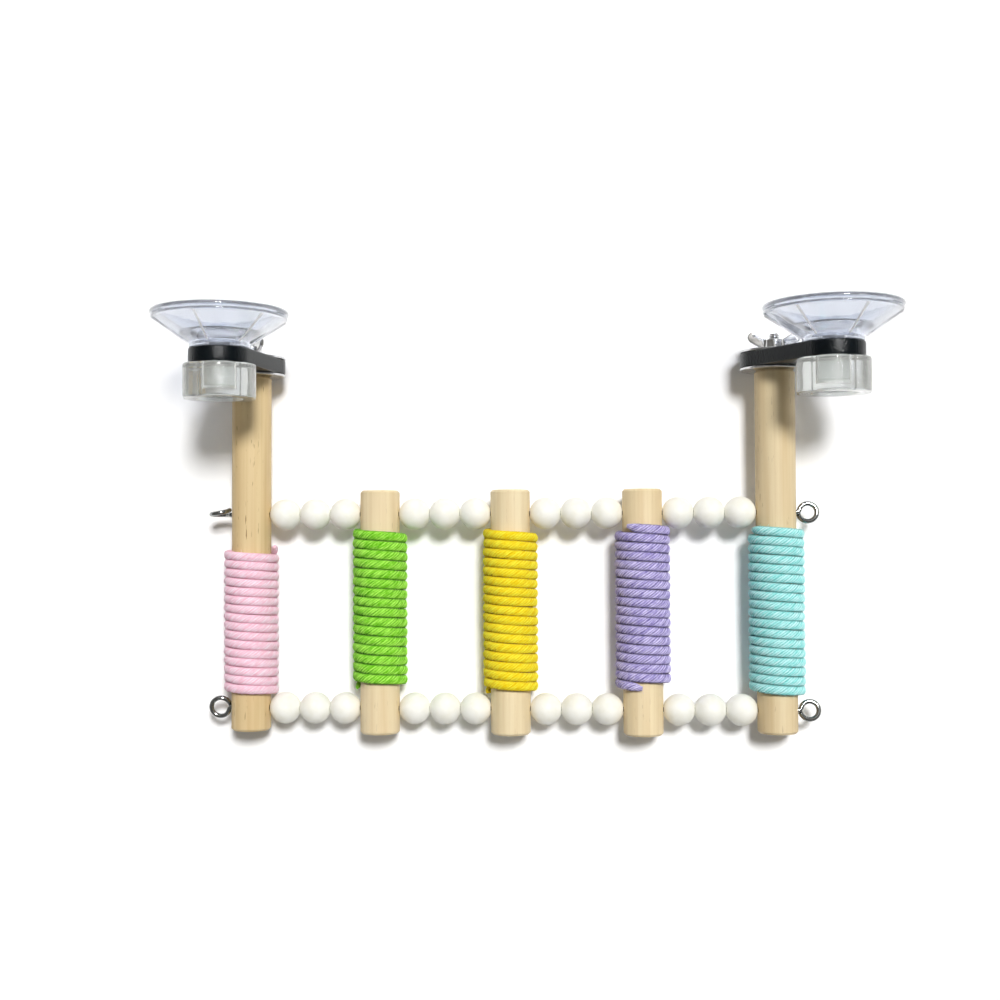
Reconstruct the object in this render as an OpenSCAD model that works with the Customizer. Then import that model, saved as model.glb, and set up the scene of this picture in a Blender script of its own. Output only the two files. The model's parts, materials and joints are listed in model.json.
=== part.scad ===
// Bird ladder: two posts and three rungs wound with cotton rope, spaced by wooden beads
// on two steel wires, and carried on a wall by two suction cups on swinging arms.
// X runs along the ladder, +Y along the posts towards the suction cups, +Z up.

/* [Dowels] */
// Diameter of the posts and the rungs
dowel_d = 15; // [12:0.5:20]
// Length of a rung past the upper wire
rung_top = 9; // [8:0.5:25]
// Length of a rung past the lower wire
rung_bottom = 9.5; // [8:0.5:25]
// Length of a post past the upper wire
post_top = 53.3; // [45:0.1:90]
// Length of a post past the lower wire
post_bottom = 8.5; // [8:0.5:25]
// Bevel round the end of a dowel
dowel_bevel = 0.8; // [0.2:0.1:2]

/* [Wires] */
// Distance between the upper and the lower wire
wire_gap = 74; // [60:0.5:110]
// Diameter of the steel wire
wire_d = 1.8; // [1:0.1:2.4]
// Radial room of the wire in the dowels and the beads
wire_room = 0.3; // [0.1:0.05:0.5]
// Width of the eased mouth of a wire hole in a dowel
hole_mouth_d = 3.6; // [3:0.1:5]
// Depth of the eased mouth of a wire hole
hole_mouth_h = 0.7; // [0.3:0.1:1.5]
// Outside diameter of the eye bent at the left end of a wire
left_eye_d = 8.8; // [7:0.2:14]
// Outside diameter of the eye bent at the right end of a wire
right_eye_d = 8.4; // [7:0.2:14]
// How far round the eye is bent, in degrees
eye_bend = 330; // [300:1:335]
// Room between an eye and the post beside it
eye_room = 0.2; // [0.2:0.1:2]
// Turn of the upper wire's left eye about the wire, in degrees
upper_left_eye_turn = 84; // [0:1:180]
// Turn of the three other eyes about their wires, in degrees
flat_eye_turn = 168; // [0:1:180]

/* [Beads] */
// Diameter of a bead
bead_d = 12; // [10:0.5:16]
// Length of a bead between its drilled ends
bead_l = 11.5; // [9:0.25:14]
// Beads between two dowels
beads_per_gap = 3; // [2:1:5]
// Room beside each bead along the wire
bead_room = 0.125; // [0.05:0.025:0.5]

/* [Rope] */
// Diameter of the cotton rope
rope_d = 3; // [2:0.1:4]
// How much thinner the rope is where it is pressed under the dowel
rope_squeeze = 0.1; // [0.04:0.02:0.2]
// Gap between two neighbouring turns, along the dowel
rope_turn_gap = 0.45; // [0.43:0.01:1]
// Room between the rope and the dowel
rope_seat = 0.1; // [0.05:0.05:0.3]
// Room between the rope and the nearest bead
rope_bead_room = 0.3; // [0.3:0.1:1]
// Bare dowel between the upper beads and each winding, from left to right
winding_drop = [8.5, 0.2, 0.6, 0, 0]; // [0:0.1:20]
// Bare dowel between each winding and the lower beads, from left to right
winding_lift = [0, 2.9, 1, 0.2, 0.2]; // [0:0.1:20]

/* [Swinging arms] */
// Room between the wing nut's tips and the cup beside it
nut_cup_room = 2.4; // [1.5:0.1:20]
// Thickness of an arm
arm_t = 5.8; // [4:0.2:10]
// Diameter of an arm's end at the post
arm_post_d = 25.6; // [20:0.2:34]
// Diameter of an arm's end at the suction cup
arm_cup_d = 22.6; // [18:0.2:34]
// Bevel round an arm
arm_bevel = 0.9; // [0.3:0.1:2]
// Outward swing of the left arm from upright, in degrees
left_swing = 7; // [-180:1:180]
// Outward swing of the right arm from upright, in degrees
right_swing = 33; // [-180:1:180]

/* [Bolts, washers and wing nuts] */
// Diameter of the hanger bolt
bolt_d = 4; // [3:0.5:6]
// Length of the hanger bolt in the wood
bolt_in_wood = 22; // [15:1:35]
// Length of the hanger bolt's tapered point
bolt_point = 5; // [3:0.5:8]
// Length of the hanger bolt past the wing nut's hub
bolt_past_nut = 2.2; // [0.5:0.1:5]
// Radial room of the bolt in the post that it is screwed into
bolt_fit = 0.05; // [0.02:0.01:0.1]
// Radial room of the bolt in the arm, the washers and the wing nut
bolt_room = 0.1; // [0.05:0.05:0.3]
// Diameter of a washer
washer_d = 26; // [16:0.5:30]
// Thickness of a washer
washer_t = 0.8; // [0.5:0.1:2]
// Diameter of the wing nut's hub
nut_hub_d = 8; // [7:0.5:12]
// Height of the wing nut's hub
nut_hub_h = 4.2; // [3:0.2:8]
// Bevel round the ends of the hub
nut_hub_bevel = 0.5; // [0.2:0.1:1]
// Distance between the tips of the wings
nut_span = 20; // [16:0.2:26]
// Width of a wing
wing_w = 4; // [3:0.2:5]
// Thickness of a wing
wing_t = 1.7; // [1:0.1:2.5]
// Height of the wings above their washer
nut_h = 7; // [6:0.2:9]
// Turn of the left wing nut away from its arm, in degrees
left_nut_turn = 44; // [0:1:180]
// Turn of the right wing nut away from its arm, in degrees
right_nut_turn = 57; // [0:1:180]
// Room between faces that turn on each other
face_room = 0.1; // [0.05:0.05:0.3]

/* [Suction cups] */
// Diameter of a suction cup
cup_d = 50; // [40:1:62]
// Height of a suction cup above its arm
cup_h = 13.7; // [12:0.1:20]
// Diameter of the flat neck that sits on the arm
neck_d = 22; // [20:0.5:26]
// Height of the neck
neck_h = 1.6; // [1:0.2:3]
// Thickness of the rounded lip
lip_t = 3.2; // [2.4:0.2:5]
// Width of the flat ring that meets the wall
lip_flat = 1.6; // [1:0.2:3]
// Height of the floor of the hollow
floor_h = 5; // [4.5:0.1:7]
// Diameter of the floor of the hollow
floor_d = 20; // [16:0.5:24]
// Ribs on the back of a cup
rib_count = 6; // [3:1:12]
// Thickness of a rib
rib_t = 0.9; // [0.5:0.1:2]
// Height of a rib above the cone
rib_h = 0.5; // [0.3:0.1:1]
// Turn of the left cup about its stud, in degrees
left_cup_turn = 24; // [-180:1:180]
// Turn of the right cup about its stud, in degrees
right_cup_turn = -10; // [-180:1:180]
// Diameter of the stud
stud_d = 8; // [6:0.5:10]
// Diameter of the stud's head, moulded into the cup
stud_head_d = 15; // [12:0.5:18]
// Thickness of the stud's head
stud_head_t = 2; // [1.5:0.1:3]
// Wall of the cup under the stud's head
stud_head_wall = 1.3; // [1:0.1:2]
// Bevel round the stud's end
stud_bevel = 0.5; // [0.2:0.1:1]
// Room of the stud in the cup
stud_fit = 0.05; // [0.02:0.01:0.1]
// Radial room of the stud in the arm and the knob
stud_room = 0.1; // [0.05:0.05:0.3]

/* [Knobs] */
// Diameter of a knob over its lobes
knob_d = 28; // [24:0.5:34]
// Height of a knob
knob_h = 12.5; // [10:0.5:20]
// Lobes round a knob
knob_lobes = 6; // [5:1:8]
// Diameter of one lobe
lobe_d = 15.2; // [13:0.2:18]
// Bevel round a lobe
lobe_bevel = 0.7; // [0.3:0.1:1.5]
// Depth of a knob's threaded hole
knob_hole_h = 9; // [6:0.5:11]
// Room between a stud's end and the bottom of the knob's hole
stud_end_room = 1; // [0.5:0.1:3]
// Diameter of the dished outer face
knob_dish_d = 17; // [10:0.5:20]
// Depth of the dished outer face
knob_dish_h = 1.2; // [0.5:0.1:2]
// Turn of the left knob about its stud, in degrees
left_knob_turn = 15; // [-180:1:180]
// Turn of the right knob about its stud, in degrees
right_knob_turn = -10; // [-180:1:180]

/* [Hidden] */
$fn = 96;
facet_fn = 48;
cut_margin = 1;

// Sizes of the ladder that follow from its beads and its rope
dowel_r = dowel_d / 2;
wire_hole_d = wire_d + 2 * wire_room;
bead_step = bead_l + bead_room;
dowel_pitch = dowel_d + beads_per_gap * bead_step + bead_room;
dowel_count = 5;
gap_count = dowel_count - 1;
beads_per_row = beads_per_gap * gap_count;
post_x = dowel_pitch * gap_count / 2;
wire_reach = post_x + dowel_r + eye_room + wire_d / 2;

// The rope's path: half turns of one torus, tilted to and fro so that they join end to end
rope_pitch = rope_d + rope_turn_gap;
rope_r = dowel_r + rope_seat + rope_d / 2;
rope_tilt = atan(rope_pitch / 4 / rope_r);
rope_bend_r = rope_r / cos(rope_tilt);
rope_reach = rope_bend_r + rope_d / 2;
rope_to_bead = (bead_d + rope_d) / 2 + rope_bead_room;
bead_from_rope = dowel_r + bead_room + bead_l / 2 - rope_r;
rope_from_wire = sqrt(pow(rope_to_bead, 2) - pow(bead_from_rope, 2));

// Heights of the pieces stacked on a post's end, along Y
arm_back_y = post_top + washer_t + face_room;
arm_front_y = arm_back_y + arm_t;
nut_y = arm_front_y + washer_t + face_room;
bolt_end_y = nut_y + nut_hub_h + bolt_past_nut;
cup_y = arm_front_y + face_room;
knob_y = arm_back_y - face_room;
stud_end_y = knob_y - knob_hole_h + stud_end_room;

// Sizes of the suction cup that follow from its lip, and the arm that keeps it off the wing nut
lip_r = cup_d / 2 - lip_t / 2;
cone_rise = (cup_h - lip_t - neck_h) / (lip_r - neck_d / 2);
cone_r_at_wings = neck_d / 2 + (nut_y + nut_h - cup_y - neck_h) / cone_rise;
arm_l = cone_r_at_wings + nut_span / 2 + nut_cup_room;
swing = [-left_swing, right_swing];
nut_turn = [left_nut_turn, right_nut_turn];
cup_turn = [left_cup_turn, right_cup_turn];
knob_turn = [left_knob_turn, right_knob_turn];
cup_x = [-post_x - arm_l * sin(left_swing), post_x + arm_l * sin(right_swing)];
cup_z = [arm_l * cos(left_swing), arm_l * cos(right_swing)];

// The origin is under the middle of the whole ladder, level with its lowest points
rest_h = max(rope_reach, arm_post_d / 2, washer_d / 2, cup_d / 2 - min(cup_z));
box_left = min(wire_d / 2 - wire_reach - left_eye_d, cup_x[0] - cup_d / 2);
box_right = max(wire_reach + right_eye_d - wire_d / 2, cup_x[1] + cup_d / 2);
box_front = -wire_gap - max(rung_bottom, post_bottom);
box_back = cup_y + cup_h;
origin = [(box_left + box_right) / 2, (box_front + box_back) / 2, -rest_h];

SIDES = ["left", "right"];
ROWS = ["upper", "lower"];
COLOURS = ["pink", "green", "yellow", "purple", "teal"];
SIDE_PIECES = [
    "post", "hanger_bolt", "lower_washer", "arm", "upper_washer", "wing_nut", "cup", "cup_stud", "knob"
];

// Paint of each material
pine = [0.89, 0.79, 0.60];
bead_white = [0.96, 0.96, 0.92];
steel = [0.72, 0.73, 0.74];
black_plastic = [0.13, 0.15, 0.16];
clear_plastic = [0.84, 0.87, 0.94];
rope_paint = [
    [0.97, 0.75, 0.84], [0.43, 0.75, 0.20], [0.96, 0.80, 0.18], [0.65, 0.57, 0.82], [0.53, 0.84, 0.80]
];

// Places
function dowel_x(i) = (i - (dowel_count - 1) / 2) * dowel_pitch;
function side_x(s) = s == 0 ? -post_x : post_x;
function wire_y(row) = row == 0 ? 0 : -wire_gap;
function bead_x(i) = dowel_x(floor(i / beads_per_gap)) + dowel_r + bead_room + bead_l / 2
    + (i % beads_per_gap) * bead_step;

module in_place() translate(-origin) children();

// The frame of an arm: its bolt is at the origin and its stud straight above
module arm_frame(s) in_place() translate([side_x(s), 0, 0]) rotate([0, swing[s], 0]) children();

// The frame of a cup, its stud and its knob: the stud's axis, at a place along Y
module cup_frame(s, y) in_place() translate([cup_x[s], y, cup_z[s]]) children();

// A shape drawn up the Z axis, laid along +Y
module along_y() rotate([-90, 0, 0]) children();

// Dowels

// A turned rod with bevelled ends, standing on the XY plane
module bevelled_rod(d, l, bevel) rotate_extrude() polygon([
    [0, 0], [d / 2 - bevel, 0], [d / 2, bevel], [d / 2, l - bevel], [d / 2 - bevel, l], [0, l]
]);

// A wire's hole right through a dowel, with an eased mouth on each side
module wire_hole() rotate([0, 90, 0]) {
    cylinder(d = wire_hole_d, h = dowel_d + 2 * cut_margin, center = true);
    for (turn = [0, 180]) rotate([turn, 0, 0]) translate([0, 0, dowel_r - hole_mouth_h])
        cylinder(d1 = wire_hole_d, d2 = hole_mouth_d, h = hole_mouth_h + 0.01);
}

module drilled_dowel(top, bottom) difference() {
    translate([0, -wire_gap - bottom, 0]) along_y()
        bevelled_rod(dowel_d, top + wire_gap + bottom, dowel_bevel);
    for (row = [0, 1]) translate([0, wire_y(row), 0]) wire_hole();
}

module post(s) color(pine) in_place() translate([side_x(s), 0, 0]) difference() {
    drilled_dowel(post_top, post_bottom);
    translate([0, post_top - bolt_in_wood - cut_margin, 0]) along_y()
        cylinder(d = bolt_d + 2 * bolt_fit, h = bolt_in_wood + 2 * cut_margin);
}

module rung(i) color(pine) in_place() translate([dowel_x(i), 0, 0]) drilled_dowel(rung_top, rung_bottom);

// Rope windings

function winding_top(i) = -rope_from_wire - winding_drop[i];
function winding_room(i) = wire_gap - 2 * rope_from_wire - winding_drop[i] - winding_lift[i];
function half_turns(i) = floor(winding_room(i) / (rope_pitch / 2));

// Half a turn over the dowel or, for every second one, under it
module rope_half_turn(k) {
    over = k % 2 == 0 ? 1 : -1;
    thickness = over == 1 ? rope_d : rope_d - rope_squeeze;
    translate([0, -(k + 0.5) * rope_pitch / 2, 0]) rotate([0, 0, -over * rope_tilt])
        rotate([over * 90, 0, 0]) rotate_extrude(angle = 180)
            translate([rope_bend_r, 0]) circle(d = thickness);
}

module wrap(i) color(rope_paint[i]) in_place() translate([dowel_x(i), winding_top(i), 0])
    for (k = [0:half_turns(i) - 1]) rope_half_turn(k);

// A point on the rope's middle line, t half turns from its start
function rope_point(t) =
    let (
        k = floor(t),
        bend = 180 * (t - k),
        over = k % 2 == 0 ? 1 : -1,
        run = k + (1 - cos(bend)) / 2
    ) [-over * rope_r * cos(bend), -run * rope_pitch / 2, over * rope_bend_r * sin(bend)];

// Least gap between a turn and the next, measured on points of the middle line
gap_steps = 90;
rope_self_gap = min([
    for (a = [0:2 * gap_steps]) for (b = [a + gap_steps:a + 3 * gap_steps])
        norm(rope_point(a / gap_steps) - rope_point(b / gap_steps))
]) - rope_d;
echo(rope_self_gap_mm = rope_self_gap);
echo(rope_turns = [for (i = [0:dowel_count - 1]) half_turns(i) / 2]);

// Wires and beads

// An eye to the right of the origin, where the wire comes to it, bent almost closed
module eye(eye_d, turn) {
    ring_r = (eye_d - wire_d) / 2;
    rotate([turn, 0, 0]) {
        translate([ring_r, 0, 0]) rotate([0, 0, 180]) rotate_extrude(angle = eye_bend)
            translate([ring_r, 0]) circle(d = wire_d);
        sphere(d = wire_d);
    }
}

module wire(row) {
    turns = [row == 0 ? upper_left_eye_turn : flat_eye_turn, flat_eye_turn];
    color(steel) in_place() translate([0, wire_y(row), 0]) {
        rotate([0, 90, 0]) cylinder(d = wire_d, h = 2 * wire_reach, center = true);
        translate([wire_reach, 0, 0]) eye(right_eye_d, turns[1]);
        translate([-wire_reach, 0, 0]) rotate([0, 0, 180]) eye(left_eye_d, turns[0]);
    }
}

// A ball with a flat at each end of the hole through it, along the wire
module drilled_bead() rotate([0, 90, 0]) difference() {
    intersection() {
        sphere(d = bead_d);
        cylinder(d = bead_d, h = bead_l, center = true);
    }
    cylinder(d = wire_hole_d, h = bead_l + 2 * cut_margin, center = true);
}

module bead(row, i) color(bead_white) in_place() translate([bead_x(i), wire_y(row), 0]) drilled_bead();

// Bolts, washers and wing nuts

module hanger_bolt(s) color(steel) in_place() translate([side_x(s), 0, 0]) {
    point_y = post_top - bolt_in_wood;
    translate([0, point_y, 0]) along_y() cylinder(d1 = bolt_d / 4, d2 = bolt_d, h = bolt_point);
    translate([0, point_y + bolt_point, 0]) along_y()
        cylinder(d = bolt_d, h = bolt_end_y - point_y - bolt_point);
}

module washer() along_y() difference() {
    cylinder(d = washer_d, h = washer_t);
    translate([0, 0, -cut_margin]) cylinder(d = bolt_d + 2 * bolt_room, h = washer_t + 2 * cut_margin);
}

module lower_washer(s) color(steel) in_place() translate([side_x(s), post_top, 0]) washer();

module upper_washer(s) color(steel) arm_frame(s) translate([0, arm_front_y, 0]) washer();

// One wing: a tongue that leans out from the hub, drawn in the plane of the bolt
module wing() {
    tip = [nut_span / 2 - wing_w / 2, nut_h - wing_w / 2];
    root = [nut_hub_d / 2 - wing_t / 2, nut_hub_h / 2];
    lean = atan2(tip[1] - root[1], tip[0] - root[0]);
    rotate([90, 0, 0]) linear_extrude(height = wing_t, center = true) {
        translate(tip) circle(d = wing_w);
        translate(root) rotate(lean) translate([0, -wing_w / 2]) square([norm(tip - root), wing_w]);
    }
}

// A hub with two wings, bored for the bolt and faced flat underneath
module winged_hub() difference() {
    union() {
        bevelled_rod(nut_hub_d, nut_hub_h, nut_hub_bevel);
        for (turn = [0, 180]) rotate([0, 0, turn]) wing();
    }
    translate([0, 0, -cut_margin]) cylinder(d = bolt_d + 2 * bolt_room, h = nut_h + 2 * cut_margin);
    translate([0, 0, -nut_h]) cylinder(d = nut_span, h = nut_h);
}

module wing_nut(s) color(steel) arm_frame(s) translate([0, nut_y, 0])
    rotate([0, nut_turn[s] - 90, 0]) along_y() winged_hub();

// Arms

// A disc with bevelled edges, for the round end of an arm
module arm_end(d) {
    translate([0, 0, arm_bevel]) cylinder(d = d, h = arm_t - 2 * arm_bevel, $fn = facet_fn);
    cylinder(d = d - 2 * arm_bevel, h = arm_t, $fn = facet_fn);
}

module arm_hole(d) translate([0, 0, -cut_margin]) cylinder(d = d, h = arm_t + 2 * cut_margin);

module arm(s) color(black_plastic) arm_frame(s) translate([0, arm_back_y, 0]) along_y() difference() {
    hull() {
        arm_end(arm_post_d);
        translate([0, -arm_l, 0]) arm_end(arm_cup_d);
    }
    arm_hole(bolt_d + 2 * bolt_room);
    translate([0, -arm_l, 0]) arm_hole(stud_d + 2 * stud_room);
}

// Suction cups, studs and knobs

// Half of a cup's section: radius along X, height above the arm along Y
module cup_section() {
    polygon([
        [0, 0], [neck_d / 2, 0], [neck_d / 2, neck_h], [lip_r, cup_h - lip_t], [lip_r, cup_h],
        [lip_r - lip_flat, cup_h], [floor_d / 2, floor_h], [0, floor_h]
    ]);
    translate([lip_r, cup_h - lip_t / 2]) circle(d = lip_t);
}

// A rib on the back of the cone, from the neck to the lip
module cup_rib() rotate([90, 0, 0]) linear_extrude(height = rib_t, center = true) polygon([
    [neck_d / 2 - rib_h, neck_h - rib_h * cone_rise], [neck_d / 2 + rib_h, neck_h - rib_h],
    [lip_r, cup_h - lip_t - rib_h], [lip_r, cup_h - lip_t / 2]
]);

// A ribbed cup with a closed room for the stud's head in its neck
module ribbed_cup() difference() {
    union() {
        rotate_extrude() cup_section();
        for (i = [0:rib_count - 1]) rotate([0, 0, (i + 0.5) * 360 / rib_count - 90]) cup_rib();
    }
    translate([0, 0, -cut_margin]) cylinder(d = stud_d + 2 * stud_fit, h = stud_head_wall + cut_margin);
    translate([0, 0, stud_head_wall - stud_fit])
        cylinder(d = stud_head_d + 2 * stud_fit, h = stud_head_t + 2 * stud_fit);
}

module cup(s) color(clear_plastic) cup_frame(s, cup_y) rotate([0, cup_turn[s], 0]) along_y() ribbed_cup();

// A stud whose head is held in the cup's neck, and whose shank passes through the arm
module cup_stud(s) color(clear_plastic) cup_frame(s, stud_end_y) along_y() {
    shank_l = cup_y + stud_head_wall - stud_end_y;
    bevelled_rod(stud_d, shank_l + stud_bevel, stud_bevel);
    translate([0, 0, shank_l]) cylinder(d = stud_head_d, h = stud_head_t);
}

// Outline of a knob: round lobes about a core
module knob_outline() {
    for (i = [0:knob_lobes - 1]) rotate(i * 360 / knob_lobes - 90)
        translate([(knob_d - lobe_d) / 2, 0]) circle(d = lobe_d);
    circle(d = lobe_d);
}

// A lobed knob with a blind hole for the stud and a dish in its outer face
module lobed_knob() difference() {
    intersection() {
        linear_extrude(height = knob_h) knob_outline();
        bevelled_rod(knob_d, knob_h, lobe_bevel);
    }
    translate([0, 0, knob_h - knob_hole_h])
        cylinder(d = stud_d + 2 * stud_room, h = knob_hole_h + cut_margin);
    translate([0, 0, -cut_margin]) cylinder(d = knob_dish_d, h = knob_dish_h + cut_margin);
}

module knob(s) color(clear_plastic) cup_frame(s, knob_y - knob_h) rotate([0, knob_turn[s], 0])
    along_y() lobed_knob();

// What is drawn

module side_piece(piece, s) {
    if (piece == "post") post(s);
    if (piece == "hanger_bolt") hanger_bolt(s);
    if (piece == "lower_washer") lower_washer(s);
    if (piece == "upper_washer") upper_washer(s);
    if (piece == "wing_nut") wing_nut(s);
    if (piece == "arm") arm(s);
    if (piece == "cup") cup(s);
    if (piece == "cup_stud") cup_stud(s);
    if (piece == "knob") knob(s);
}

for (piece = SIDE_PIECES) for (s = [0, 1])
    side_piece(piece, s);
for (i = [1:3]) rung(i);
for (i = [0:4]) wrap(i);
for (row = [0, 1]) wire(row);
for (row = [0, 1]) for (i = [1:beads_per_row])
    bead(row, i - 1);
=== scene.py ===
import json
import math
from functools import partial

import bmesh
import bpy
from mathutils import Matrix, Vector


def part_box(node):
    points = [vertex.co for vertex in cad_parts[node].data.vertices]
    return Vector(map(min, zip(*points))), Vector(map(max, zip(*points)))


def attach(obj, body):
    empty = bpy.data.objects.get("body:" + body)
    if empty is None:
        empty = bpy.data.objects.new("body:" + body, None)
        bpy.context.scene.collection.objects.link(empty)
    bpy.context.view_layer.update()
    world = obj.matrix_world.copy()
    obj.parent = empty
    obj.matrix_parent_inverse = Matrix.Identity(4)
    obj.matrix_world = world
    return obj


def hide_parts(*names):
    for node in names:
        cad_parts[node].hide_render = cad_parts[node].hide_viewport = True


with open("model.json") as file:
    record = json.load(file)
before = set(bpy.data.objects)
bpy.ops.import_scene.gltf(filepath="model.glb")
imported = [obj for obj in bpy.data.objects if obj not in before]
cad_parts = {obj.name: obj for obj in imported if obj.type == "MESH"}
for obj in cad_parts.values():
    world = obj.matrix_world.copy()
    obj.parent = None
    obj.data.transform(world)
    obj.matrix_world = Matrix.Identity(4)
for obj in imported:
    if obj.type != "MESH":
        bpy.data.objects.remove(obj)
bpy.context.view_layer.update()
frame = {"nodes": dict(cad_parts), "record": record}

# Camera
# It looks straight down on the table from half a metre, a little to the right of the middle.
# Its place, turn and lens are fitted to the outlines of the dowels, the beads and the cups.


def in_scene(name, data):
    """A new object in the scene."""
    made = bpy.data.objects.new(name, data)
    bpy.context.scene.collection.objects.link(made)
    return made


camera_lens = bpy.data.cameras.new("camera")
camera_lens.sensor_width = 36
camera_lens.lens = 49.18
camera_lens.clip_start = 0.01
camera = in_scene("camera", camera_lens)
camera.location = (0.02661, -0.00585, 0.53227)
camera.rotation_euler = [math.radians(angle) for angle in (1.734, 4.109, -0.209)]
bpy.context.scene.camera = camera

# Table and light
# A white table top and soft daylight from the upper right. The ladder lies on the rims of its
# washers and on the lower ends of its windings, so the table leans by a degree to meet both.
table_reach = 3
table_lift = 0.04
white = (1, 1, 1, 1)
room_tint = (1, 0.975, 0.92, 1)
light_falls = Vector((-0.25, -0.41, -1)).normalized()
room_heights = (0.2, 0.6)
room_levels = (0.085, 0.165)
lamp_nearness = (0.84, 0.97)
mirrored_levels = (0.22, 1)
backdrop_level = 1


def paint(red, green, blue):
    """A colour as the eye sees it, from 0 to 255, turned into a linear one."""
    shares = [value / 255 for value in (red, green, blue)]
    return [s / 12.92 if s <= 0.04045 else ((s + 0.055) / 1.055) ** 2.4 for s in shares] + [1]


def add_node(tree, kind, *inputs, **settings):
    """A node whose sockets take the given values or links in their order; None leaves one as it is."""
    made = tree.nodes.new(kind)
    for name, value in settings.items():
        setattr(made, name, value)
    for socket, value in zip(made.inputs, inputs):
        if isinstance(value, bpy.types.NodeSocket):
            tree.links.new(value, socket)
        elif value is not None:
            socket.default_value = value
    return made


def result(tree, kind, *inputs, **settings):
    """The first output of a new node."""
    return add_node(tree, kind, *inputs, **settings).outputs[0]


def calc(tree, operation, *values, **settings):
    """The result of one sum in a node tree."""
    return result(tree, "ShaderNodeMath", *values, operation=operation, **settings)


def mix_colours(tree, share, first, second):
    """Two colours mixed by a share, as a socket."""
    other_sockets = [None] * 5
    mixed = add_node(tree, "ShaderNodeMix", share, *other_sockets, first, second, data_type="RGBA")
    return mixed.outputs[2]


def new_finish(name, looks):
    """A material with one Principled shader that has those looks, and its node tree."""
    material = bpy.data.materials.new(name)
    material.use_nodes = True
    shader = material.node_tree.nodes["Principled BSDF"]
    for input_name, value in looks.items():
        shader.inputs[input_name].default_value = value
    return material, material.node_tree, shader


washer_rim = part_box("lower_washer_left")[0]
winding_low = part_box("wrap_teal")[0]
table_slope = (winding_low.z - washer_rim.z) / (winding_low.y - washer_rim.y)
table_mesh = bpy.data.meshes.new("table")
table_mesh.from_pydata(
    [
        (x * table_reach, y * table_reach, washer_rim.z + table_slope * (y * table_reach - washer_rim.y))
        for x, y in ((-1, -1), (1, -1), (1, 1), (-1, 1))
    ],
    [],
    [(0, 1, 2, 3)],
)
table = in_scene("table", table_mesh)
table_looks = {"Base Color": paint(254, 254, 254), "Roughness": 1, "Specular IOR Level": 0}
table_white, table_tree, table_shader = new_finish("table_white", table_looks)
seen_by = add_node(table_tree, "ShaderNodeLightPath").outputs
looked_at = calc(table_tree, "ADD", seen_by["Is Camera Ray"], seen_by["Is Glossy Ray"])
looked_at = calc(table_tree, "ADD", looked_at, seen_by["Is Transmission Ray"], use_clamp=True)
table_glow = calc(table_tree, "MULTIPLY", looked_at, table_lift)
table_glow = result(table_tree, "ShaderNodeEmission", white, table_glow)
table_seen = result(table_tree, "ShaderNodeAddShader", table_shader.outputs[0], table_glow)
table_tree.links.new(table_seen, table_tree.nodes["Material Output"].inputs["Surface"])
table_mesh.materials.append(table_white)

daylight = bpy.data.lights.new("daylight", "SUN")
daylight.energy = 3.15
daylight.angle = math.radians(14)
daylight_lamp = in_scene("daylight", daylight)
daylight_lamp.rotation_euler = light_falls.to_track_quat("-Z", "Y").to_euler()

studio = bpy.data.worlds.new("studio")
studio.use_nodes = True
bpy.context.scene.world = studio
studio_tree = studio.node_tree
studio_way = add_node(studio_tree, "ShaderNodeTexCoord").outputs["Generated"]
studio_height = add_node(studio_tree, "ShaderNodeSeparateXYZ", studio_way).outputs["Z"]
room_walls = result(studio_tree, "ShaderNodeMapRange", studio_height, *room_heights, *room_levels)
near_lamp = add_node(
    studio_tree, "ShaderNodeVectorMath", studio_way, -light_falls, operation="DOT_PRODUCT"
).outputs["Value"]
mirrored_walls = result(studio_tree, "ShaderNodeMapRange", near_lamp, *lamp_nearness, *mirrored_levels)
ray = add_node(studio_tree, "ShaderNodeLightPath").outputs
studio_level = room_walls
for kind_of_ray, level in (
    ("Is Glossy Ray", mirrored_walls),
    ("Is Transmission Ray", backdrop_level),
    ("Is Camera Ray", backdrop_level),
):
    studio_level = result(studio_tree, "ShaderNodeMix", ray[kind_of_ray], None, studio_level, level)
studio_light = studio_tree.nodes["Background"].inputs
studio_tree.links.new(studio_level, studio_light["Strength"])
studio_tint = mix_colours(studio_tree, ray["Is Camera Ray"], room_tint, white)
studio_tree.links.new(studio_tint, studio_light["Color"])
bpy.context.scene.view_settings.view_transform = "Standard"

# Dowels
# Two posts and three rungs of turned pine, sanded but not varnished, with bevelled ends and drilled
# across for the wires. The grain runs along them, and the growth rings show on their ends.
pine_speck = paint(126, 86, 46)
ring_width = 0.0021
# How much each pattern is drawn out along the grain
ring_stretch = (1, 0.05, 1)
streak_stretch = (1, 0.035, 1)
speck_stretch = (1, 0.1, 1)


def bump(tree, shader, height, strength, distance, layer="Normal"):
    """Gives a shader, or its coat, a relief of that height, in metres."""
    relief = add_node(tree, "ShaderNodeBump")
    relief.inputs["Strength"].default_value = strength
    relief.inputs["Distance"].default_value = distance
    tree.links.new(height, relief.inputs["Height"])
    tree.links.new(relief.outputs["Normal"], shader.inputs[layer])


def steps(tree, value, low, high, top=1):
    """A value spread from 0 at low to top at high."""
    return result(tree, "ShaderNodeMapRange", value, low, high, 0, top)


def piece_place(tree):
    """The place on a piece, for its patterns."""
    return add_node(tree, "ShaderNodeTexCoord").outputs["Object"]


def noise(tree, place, scale, detail, roughness):
    """Soft clouds, that many to a metre, as a socket."""
    return result(tree, "ShaderNodeTexNoise", place, None, scale, detail, roughness)


def stretched(tree, place, scale):
    """A place by which a pattern is drawn out."""
    mapping = add_node(tree, "ShaderNodeMapping", place)
    mapping.inputs["Scale"].default_value = scale
    return mapping.outputs[0]


def shade_of(colour, shares):
    """A colour with its red, green and blue scaled by three shares."""
    return [part * share for part, share in zip(colour, shares)] + [1]


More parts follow.
